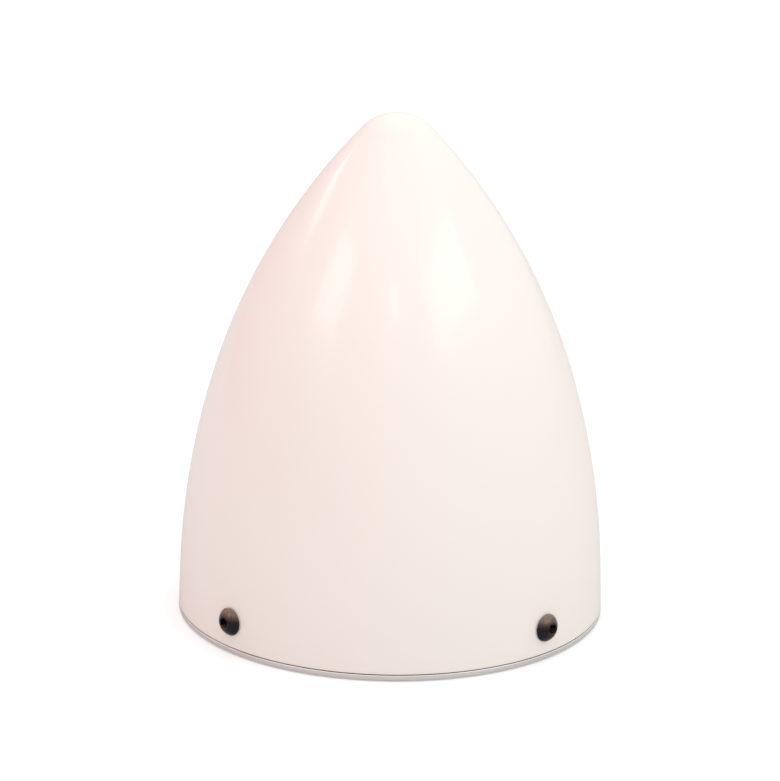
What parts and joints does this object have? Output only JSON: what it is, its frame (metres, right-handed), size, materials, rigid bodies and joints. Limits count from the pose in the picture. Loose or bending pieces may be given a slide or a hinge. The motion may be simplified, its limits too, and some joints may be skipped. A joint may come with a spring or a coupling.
{
  "type": "propeller spinner",
  "caption": "Glossy ogive spinner cone screwed radially onto a bored backplate with a flush flange.",
  "frame": {"origin": "centre of the backplate's rear face, on the spin axis; the part stands on that face", "axes": "+Z along the spin axis towards the nose, +X to the right and -Y to the front, with the screws midway between the axes"},
  "size_m": [0.09, 0.09, 0.105],
  "materials": {
    "gelcoat": "glossy creamy-white gelcoat over glass-fibre laminate",
    "turned_aluminium": "fine turned and milled",
    "black_oxide_steel": "black oxide, lightly oiled"
  },
  "bodies": {
    "root": {"cone": "gelcoat", "backplate": "turned_aluminium", "cone_screw_1": "black_oxide_steel", "cone_screw_2": "black_oxide_steel", "cone_screw_3": "black_oxide_steel", "cone_screw_4": "black_oxide_steel"}
  },
  "joints": []
}
